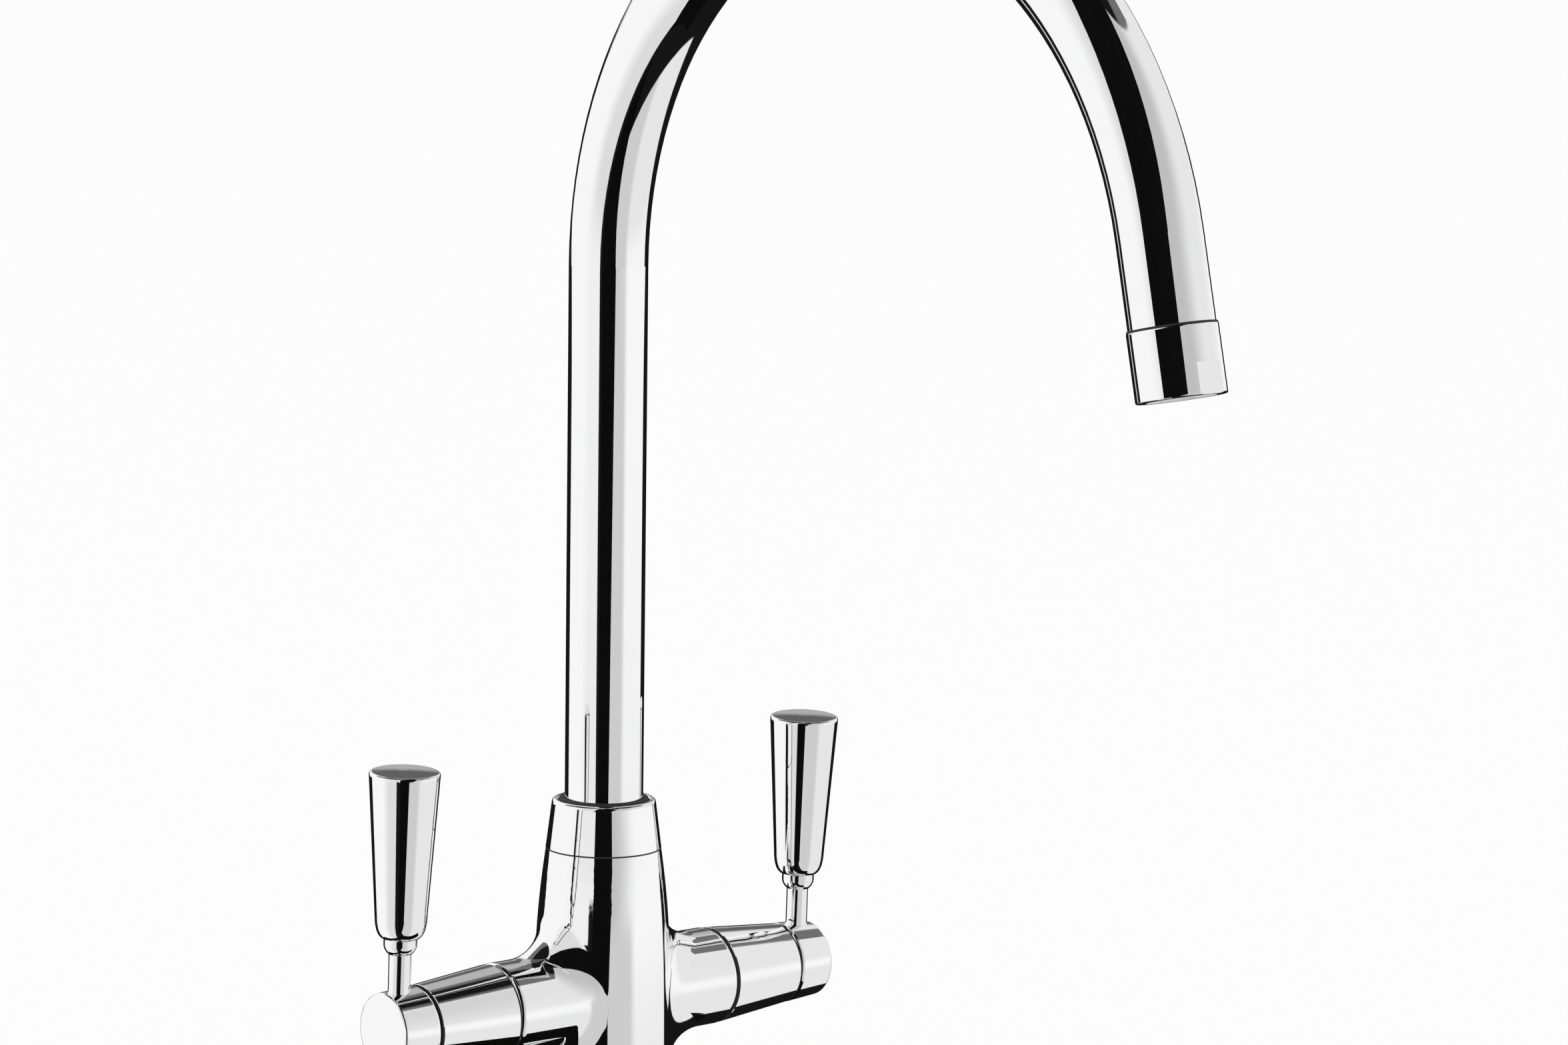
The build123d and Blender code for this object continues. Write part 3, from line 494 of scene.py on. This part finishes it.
def add_ceiling(tree, tone, aside, elevation):
    """Grey ceiling with a black middle; its edge falls towards the rear."""
    drop = maths(tree, "MULTIPLY", maths(tree, "SUBTRACT", aside, CEILING_BEARING), CEILING_FALL)
    edge = maths(tree, "MAXIMUM", maths(tree, "SUBTRACT", CEILING_START, drop), CEILING_LOWEST)
    past_edge = maths(tree, "SUBTRACT", elevation, edge)
    over_edge = smooth_step(tree, past_edge, -EDGE_SOFTNESS, EDGE_SOFTNESS)
    ceiling = blend(tree, smooth_step(tree, elevation, *CEILING_DARK), CEILING_TONE, DARK_TONE)
    return blend(tree, over_edge, tone, ceiling)


def rear_tone(tree, elevation):
    """Tones straight behind the tap, one over the other."""
    share = maths(tree, "DIVIDE", maths(tree, "ADD", elevation, 90.0), 180.0)
    return ramp(tree, share, [((height + 90.0) / 180.0, tone) for height, tone in REAR_TONES])


def add_rear(tree, tone, bearing, elevation):
    """The narrow part straight behind the tap."""
    turned = maths(tree, "WRAP", bearing, 360.0, 0.0)
    started = smooth_step(tree, turned, *REAR_EDGE)
    not_ended = smooth_step(tree, turned, *reversed(REAR_END))
    rear = maths(tree, "MULTIPLY", started, not_ended)
    return mix(tree, rear, shade_of(tree, tone), rear_tone(tree, elevation))


def dark_floor(tree, x, y, z, bearing, elevation):
    """Where the dark floor shows: past a straight line on it, right of its left end and below the horizon."""
    across = maths(tree, "MULTIPLY", x, x)
    forward = maths(tree, "MULTIPLY", y, y)
    flat = maths(tree, "SQRT", maths(tree, "ADD", across, forward))
    turn = maths(tree, "RADIANS", maths(tree, "SUBTRACT", bearing, FLOOR_BEARING))
    reach = maths(tree, "MULTIPLY", flat, maths(tree, "COSINE", turn))
    past_line = maths(tree, "MULTIPLY_ADD", z, FLOOR_SLOPE, reach)
    on_floor = smooth_step(tree, past_line, FLOOR_EDGE_SOFTNESS, -FLOOR_EDGE_SOFTNESS)
    right_of_end = smooth_step(tree, bearing, FLOOR_LEFT_END - EDGE_SOFTNESS, FLOOR_LEFT_END + EDGE_SOFTNESS)
    below = smooth_step(tree, elevation, *reversed(FLOOR_TOP))
    return maths(tree, "MULTIPLY", maths(tree, "MULTIPLY", on_floor, right_of_end), below)


def dark_drapes(tree, aside, elevation):
    """Where the black drapes hang."""
    gather = maths(tree, "MULTIPLY", smooth_step(tree, elevation, *DRAPE_GATHER_RISE), DRAPE_GATHER)
    behind = smooth_step(tree, maths(tree, "SUBTRACT", aside, gather), *DRAPE_EDGE)
    under_top = smooth_step(tree, elevation, *reversed(DRAPE_TOP))
    return maths(tree, "MULTIPLY", behind, under_top)


def surround_tone(tree):
    """What polished metal sees: a white tent with a dark ceiling, a dark floor and black drapes."""
    place = tree.nodes.new("ShaderNodeTexCoord")
    split = tree.nodes.new("ShaderNodeSeparateXYZ")
    tree.links.new(place.outputs["Generated"], split.inputs[0])
    x, y, z = split.outputs
    heading = maths(tree, "DEGREES", maths(tree, "ARCTAN2", x, y))
    bearing = maths(tree, "WRAP", maths(tree, "SUBTRACT", STUDIO_FRONT, heading), 180.0, -180.0)
    elevation = maths(tree, "DEGREES", maths(tree, "ARCSINE", z))
    aside = maths(tree, "ABSOLUTE", bearing)
    dark = shade_of(tree, DARK_TONE)
    tone = wall_tone(tree, bearing, elevation)
    tone = add_ceiling(tree, tone, aside, elevation)
    tone = add_rear(tree, tone, bearing, elevation)
    tone = mix(tree, dark_floor(tree, x, y, z, bearing, elevation), tone, dark)
    return mix(tree, dark_drapes(tree, aside, elevation), tone, dark)


def make_world():
    """White for the camera and for soft light; metal sees the surround."""
    world = bpy.data.worlds.new("white_studio")
    bpy.context.scene.world = world
    world.use_nodes = True
    tree = world.node_tree
    background = tree.nodes["Background"]
    light_path = tree.nodes.new("ShaderNodeLightPath")
    seen = mix(tree, light_path.outputs["Is Glossy Ray"], (1, 1, 1, 1), surround_tone(tree))
    tree.links.new(seen, background.inputs["Color"])


def flat_card(name, corners):
    """A four-cornered sheet of the studio, with a material of its own."""
    mesh = bpy.data.meshes.new(name)
    mesh.from_pydata(corners, [], [(0, 1, 2, 3)])
    card = bpy.data.objects.new(name, mesh)
    bpy.context.scene.collection.objects.link(card)
    material, tree, shader = new_material(name)
    mesh.materials.append(material)
    return card, tree, shader


def level_corners(left, right, front, rear):
    """Corners of a level rectangle just under the tap."""
    height = cad_box[0].z - FLOOR_GAP
    return [(left, front, height), (right, front, height), (right, rear, height), (left, rear, height)]


def make_floor():
    """Pale floor that shows the camera white and keeps a soft shadow; metal sees the surround instead."""
    half = FLOOR_SIZE / 2
    floor, tree, shader = flat_card("floor", level_corners(-half, half, -half, half))
    floor.visible_glossy = False
    shader.inputs["Base Color"].default_value = (*FLOOR_COLOUR, 1)
    shader.inputs["Roughness"].default_value = 0.9
    glow = tree.nodes.new("ShaderNodeEmission")
    mixer = tree.nodes.new("ShaderNodeMixShader")
    light_path = tree.nodes.new("ShaderNodeLightPath")
    put(tree, mixer.inputs[0], maths(tree, "MULTIPLY", light_path.outputs["Is Camera Ray"], FLOOR_GLOW))
    tree.links.new(shader.outputs[0], mixer.inputs[1])
    tree.links.new(glow.outputs[0], mixer.inputs[2])
    tree.links.new(mixer.outputs[0], tree.nodes["Material Output"].inputs["Surface"])


def only_for_metal(name, corners):
    """A black card that only reflections show."""
    card, tree, shader = flat_card(name, corners)
    card.visible_camera = False
    card.visible_diffuse = False
    card.visible_shadow = False
    card.visible_transmission = False
    card.visible_volume_scatter = False
    shader.inputs["Base Color"].default_value = (CARD_TONE, CARD_TONE, CARD_TONE, 1)
    shader.inputs["Roughness"].default_value = 1.0
    shader.inputs["Specular IOR Level"].default_value = 0.0


def card_corner(foot, lean, height):
    """Where a leaning edge of the card is at this height."""
    return (foot[0] + lean[0] * height, foot[1] + lean[1] * height, height)


def make_black_card():
    """Tall black card at the front: the black band down every piece of the tap."""
    left = (CARD_LEFT, CARD_LEFT_LEAN)
    right = (CARD_RIGHT, CARD_RIGHT_LEAN)
    corners = [
        card_corner(*left, CARD_BOTTOM),
        card_corner(*right, CARD_BOTTOM),
        card_corner(*right, CARD_TOP),
        card_corner(*left, CARD_TOP),
    ]
    only_for_metal("black_card", corners)


def make_mat():
    """Dark mat under the tap."""
    only_for_metal("dark_mat", level_corners(MAT_LEFT, MAT_RIGHT, MAT_FRONT, MAT_REAR))


make_shade_seals()
make_camera()
make_world()
make_floor()
make_black_card()
make_mat()
bpy.context.scene.view_settings.view_transform = "Standard"
